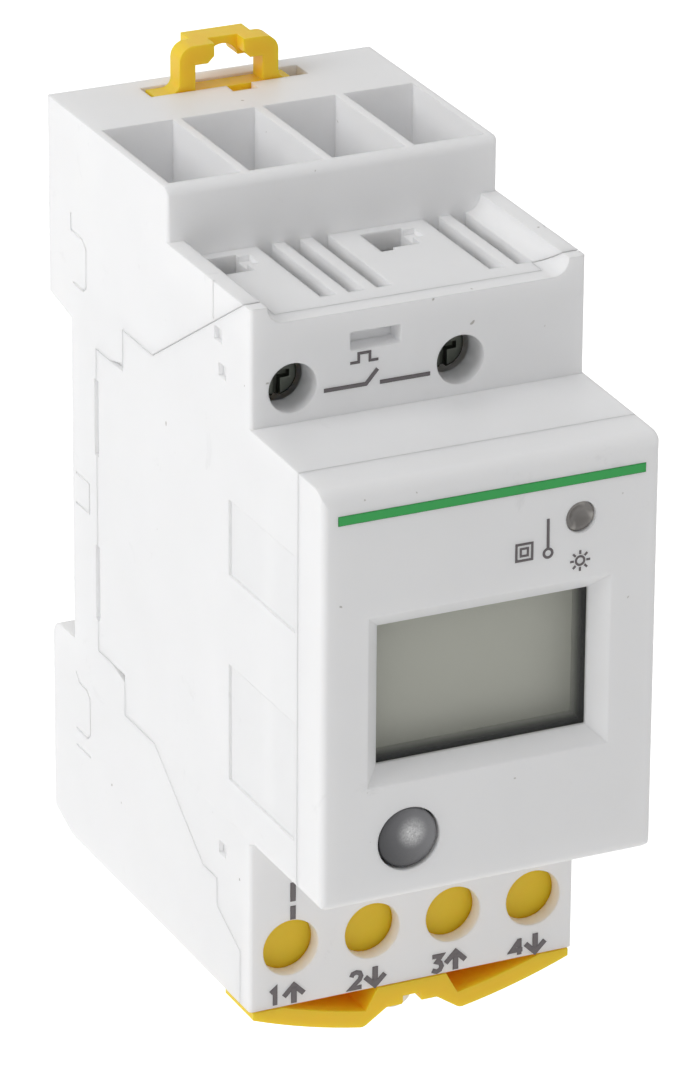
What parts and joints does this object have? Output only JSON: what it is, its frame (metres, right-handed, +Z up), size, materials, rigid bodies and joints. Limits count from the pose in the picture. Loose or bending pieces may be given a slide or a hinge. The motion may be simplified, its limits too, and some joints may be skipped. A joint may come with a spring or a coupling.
{
  "type": "smart electric meter",
  "caption": "Two-module rail-mounted electricity meter with display, reset button, pulse output, sliding screw shutter and rail clip.",
  "frame": {"origin": "centre of the rail seat: the rail's front face and its long axis, mid width", "axes": "+Z up, +X along the rail to the right seen from the front, the display faces -Y"},
  "size_m": [0.036, 0.0665, 0.0908],
  "materials": {
    "white_plastic": "fine matt moulded white",
    "yellow_plastic": "satin moulded yellow",
    "grey_plastic": "satin dark grey",
    "black_plastic": "matt black",
    "black_rubber": "striped conductive rubber",
    "window_glass": "clear pane",
    "lcd_glass": "grey green display, blank",
    "lens_plastic": "smoky clear light guide",
    "lamp": "clear red",
    "board": "green solder mask",
    "film_yellow": "yellow box",
    "can_blue": "blue sleeve",
    "steel": "zinc plated",
    "conductor": "tinned copper alloy"
  },
  "bodies": {
    "housing": {"rear_base": "white_plastic", "front_case": "white_plastic", "nose_fascia": "white_plastic", "display_window": "window_glass", "lcd_panel": "lcd_glass", "lcd_frame": "black_plastic", "zebra_strips": "black_rubber", "display_board": "board", "tact_switch": "steel", "led": "lamp", "led_lens": "lens_plastic", "main_board": "board", "board_header": "black_plastic", "film_capacitor": "film_yellow", "electrolytic_capacitor": "can_blue", "varistor": "can_blue", "metering_chip": "black_plastic", "crystal": "steel", "optocoupler": "black_plastic", "current_shunt": "conductor", "neutral_busbar": "conductor", "pulse_contact_1": "conductor", "pulse_contact_2": "conductor"},
    "rail_clip": {"rail_clip": "yellow_plastic"},
    "screw_shutter": {"screw_shutter": "yellow_plastic"},
    "button": {"button_cap": "grey_plastic", "switch_plunger": "black_plastic"},
    "pulse_screw_1": {"pulse_screw_1": "steel"},
    "pulse_cage_1": {"pulse_cage_1": "steel"},
    "pulse_screw_2": {"pulse_screw_2": "steel"},
    "pulse_cage_2": {"pulse_cage_2": "steel"},
    "power_screw_1": {"power_screw_1": "steel"},
    "power_cage_1": {"power_cage_1": "steel"},
    "power_screw_2": {"power_screw_2": "steel"},
    "power_cage_2": {"power_cage_2": "steel"},
    "power_screw_3": {"power_screw_3": "steel"},
    "power_cage_3": {"power_cage_3": "steel"},
    "power_screw_4": {"power_screw_4": "steel"},
    "power_cage_4": {"power_cage_4": "steel"}
  },
  "joints": [
    {"name": "clip_slide", "type": "slide", "parent": "housing", "child": "rail_clip", "axis": [0, 0, 1], "range_m": [0, 0.004]},
    {"name": "shutter_slide", "type": "slide", "parent": "housing", "child": "screw_shutter", "axis": [0, 0, -1], "range_m": [0, 0.0073]},
    {"name": "button_press", "type": "slide", "parent": "housing", "child": "button", "axis": [0, 1, 0], "range_m": [0, 0.0005], "stiffness_N_per_m": 3000},
    {"name": "pulse_screw_1_turn", "type": "hinge", "parent": "housing", "child": "pulse_screw_1", "pos_m": [-0.0135, -0.036, 0.02565], "axis": [0, 1, 0], "range_deg": [0, 2310]},
    {"name": "pulse_cage_1_draw", "type": "slide", "parent": "housing", "child": "pulse_cage_1", "axis": [0, -1, 0], "range_m": [0, 0.0032]},
    {"name": "pulse_screw_2_turn", "type": "hinge", "parent": "housing", "child": "pulse_screw_2", "pos_m": [0.0045, -0.036, 0.02565], "axis": [0, 1, 0], "range_deg": [0, 2310]},
    {"name": "pulse_cage_2_draw", "type": "slide", "parent": "housing", "child": "pulse_cage_2", "axis": [0, -1, 0], "range_m": [0, 0.0032]},
    {"name": "power_screw_1_turn", "type": "hinge", "parent": "housing", "child": "power_screw_1", "pos_m": [-0.0135, -0.036, -0.0346], "axis": [0, 1, 0], "range_deg": [0, 2030]},
    {"name": "power_cage_1_draw", "type": "slide", "parent": "housing", "child": "power_cage_1", "axis": [0, -1, 0], "range_m": [0, 0.0045]},
    {"name": "power_screw_2_turn", "type": "hinge", "parent": "housing", "child": "power_screw_2", "pos_m": [-0.0045, -0.036, -0.0346], "axis": [0, 1, 0], "range_deg": [0, 2030]},
    {"name": "power_cage_2_draw", "type": "slide", "parent": "housing", "child": "power_cage_2", "axis": [0, -1, 0], "range_m": [0, 0.0045]},
    {"name": "power_screw_3_turn", "type": "hinge", "parent": "housing", "child": "power_screw_3", "pos_m": [0.0045, -0.036, -0.0346], "axis": [0, 1, 0], "range_deg": [0, 2030]},
    {"name": "power_cage_3_draw", "type": "slide", "parent": "housing", "child": "power_cage_3", "axis": [0, -1, 0], "range_m": [0, 0.0045]},
    {"name": "power_screw_4_turn", "type": "hinge", "parent": "housing", "child": "power_screw_4", "pos_m": [0.0135, -0.036, -0.0346], "axis": [0, 1, 0], "range_deg": [0, 2030]},
    {"name": "power_cage_4_draw", "type": "slide", "parent": "housing", "child": "power_cage_4", "axis": [0, -1, 0], "range_m": [0, 0.0045]}
  ],
  "couplings": [
    {"joint": "pulse_screw_1_turn", "follows": "pulse_cage_1_draw", "rad_per_m": 12566},
    {"joint": "pulse_screw_2_turn", "follows": "pulse_cage_2_draw", "rad_per_m": 12566},
    {"joint": "power_screw_1_turn", "follows": "power_cage_1_draw", "rad_per_m": 7854},
    {"joint": "power_screw_2_turn", "follows": "power_cage_2_draw", "rad_per_m": 7854},
    {"joint": "power_screw_3_turn", "follows": "power_cage_3_draw", "rad_per_m": 7854},
    {"joint": "power_screw_4_turn", "follows": "power_cage_4_draw", "rad_per_m": 7854}
  ]
}
